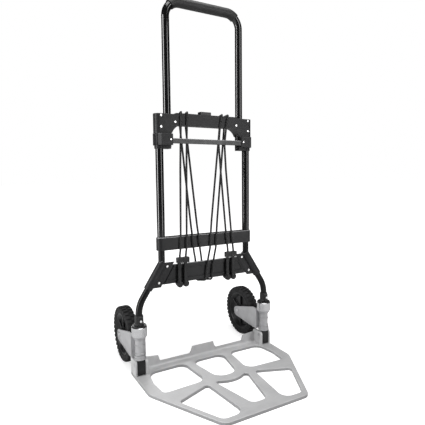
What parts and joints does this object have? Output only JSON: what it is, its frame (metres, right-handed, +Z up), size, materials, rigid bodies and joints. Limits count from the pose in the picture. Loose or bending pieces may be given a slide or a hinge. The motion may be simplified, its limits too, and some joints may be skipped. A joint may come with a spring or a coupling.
{
  "type": "folding luggage cart",
  "caption": "Upright tubular luggage cart with a pull-out handle, elastic cords, a fold-up cast toe plate and swing-in wheels.",
  "frame": {"origin": "centre of the overall box on the floor, with the cart open and the handle pulled out", "axes": "+X to the right as seen from the toe plate's side, +Y from the toe plate towards the wheels, +Z up"},
  "size_m": [0.4736, 0.528, 1.053],
  "materials": {
    "black_tube": "gloss black enamel on steel tube",
    "dark_moulding": "finely grained dark moulding",
    "dark_sheet": "dark powder coat on pressed sheet",
    "grip_foam": "soft foam sleeve",
    "cord_sheath": "braided sheath over elastic",
    "hook_plastic": "black moulding",
    "cast_alloy": "satin cast alloy",
    "bracket_alloy": "silver satin coat on light alloy",
    "rivet_steel": "bright rivet heads",
    "axle_steel": "plated steel",
    "spring_steel": "spring wire",
    "foot_plastic": "black moulding",
    "hub_plastic": "black moulding",
    "bush_plastic": "dark plain bearing",
    "tyre_rubber": "black solid tread"
  },
  "bodies": {
    "frame": {"bracket_rivets": "rivet_steel", "bushing_rivets": "rivet_steel", "button_spring": "spring_steel", "clamp_rivets": "rivet_steel", "cord_hook_left_inner": "hook_plastic", "cord_hook_left_outer": "hook_plastic", "cord_hook_right_inner": "hook_plastic", "cord_hook_right_outer": "hook_plastic", "crossbar_panel": "dark_sheet", "elastic_cord_inner": "cord_sheath", "elastic_cord_outer": "cord_sheath", "foot_left": "foot_plastic", "foot_right": "foot_plastic", "leg_bushing_left": "dark_moulding", "leg_bushing_right": "dark_moulding", "leg_clamp_left": "dark_moulding", "leg_clamp_right": "dark_moulding", "leg_left": "black_tube", "leg_right": "black_tube", "leg_washer_left": "dark_moulding", "leg_washer_right": "dark_moulding", "sleeve_bar": "dark_sheet", "sleeve_saddle_left": "dark_moulding", "sleeve_saddle_right": "dark_moulding", "top_bracket_front": "dark_moulding", "top_bracket_rear": "dark_moulding", "upright_left": "black_tube", "upright_right": "black_tube"},
    "handle": {"handle_tube": "black_tube", "handle_grip": "grip_foam", "slider_block_left": "dark_moulding", "slider_block_right": "dark_moulding", "slider_bar": "dark_sheet", "slider_rivets": "rivet_steel"},
    "button": {"release_button": "hook_plastic"},
    "bolt_left": {"lock_bolt_left": "axle_steel"},
    "bolt_right": {"lock_bolt_right": "axle_steel"},
    "toe": {"toe_plate": "cast_alloy", "toe_pin_left": "axle_steel", "toe_pin_right": "axle_steel"},
    "swivel_left": {"wheel_bracket_left": "bracket_alloy", "axle_left": "axle_steel"},
    "wheel_left": {"wheel_hub_left": "hub_plastic", "tyre_left": "tyre_rubber", "wheel_bush_left": "bush_plastic"},
    "swivel_right": {"wheel_bracket_right": "bracket_alloy", "axle_right": "axle_steel"},
    "wheel_right": {"wheel_hub_right": "hub_plastic", "tyre_right": "tyre_rubber", "wheel_bush_right": "bush_plastic"}
  },
  "joints": [
    {"name": "handle_slide", "type": "slide", "parent": "frame", "child": "handle", "axis": [0, 0, 1], "range_m": [-0.24, 0]},
    {"name": "release_press", "type": "slide", "parent": "frame", "child": "button", "axis": [0, 0, -1], "range_m": [0, 0.006], "stiffness_N_per_m": 500, "springref_m": -0.002, "deforming": ["button_spring"]},
    {"name": "bolt_left_draw", "type": "slide", "parent": "frame", "child": "bolt_left", "axis": [1, 0, 0], "range_m": [0, 0.003]},
    {"name": "bolt_right_draw", "type": "slide", "parent": "frame", "child": "bolt_right", "axis": [-1, 0, 0], "range_m": [0, 0.003]},
    {"name": "toe_fold", "type": "hinge", "parent": "frame", "child": "toe", "pos_m": [0, 0.05, 0.04], "axis": [-1, 0, 0], "range_deg": [0, 90]},
    {"name": "swivel_left_turn", "type": "hinge", "parent": "frame", "child": "swivel_left", "pos_m": [-0.2137, 0.052, 0.1], "axis": [0, 0, -1], "range_deg": [0, 90]},
    {"name": "swivel_right_turn", "type": "hinge", "parent": "frame", "child": "swivel_right", "pos_m": [0.2137, 0.052, 0.1], "axis": [0, 0, 1], "range_deg": [0, 90]},
    {"name": "wheel_left_spin", "type": "hinge", "parent": "swivel_left", "child": "wheel_left", "pos_m": [-0.2137, 0.18, 0.084], "axis": [1, 0, 0], "continuous": true},
    {"name": "wheel_right_spin", "type": "hinge", "parent": "swivel_right", "child": "wheel_right", "pos_m": [0.2137, 0.18, 0.084], "axis": [1, 0, 0], "continuous": true}
  ],
  "couplings": [
    {"joint": "bolt_left_draw", "follows": "release_press", "ratio": 0.5},
    {"joint": "bolt_right_draw", "follows": "release_press", "ratio": 0.5},
    {"joint": "swivel_left_turn", "follows": "toe_fold", "ratio": 1},
    {"joint": "swivel_right_turn", "follows": "toe_fold", "ratio": 1}
  ]
}
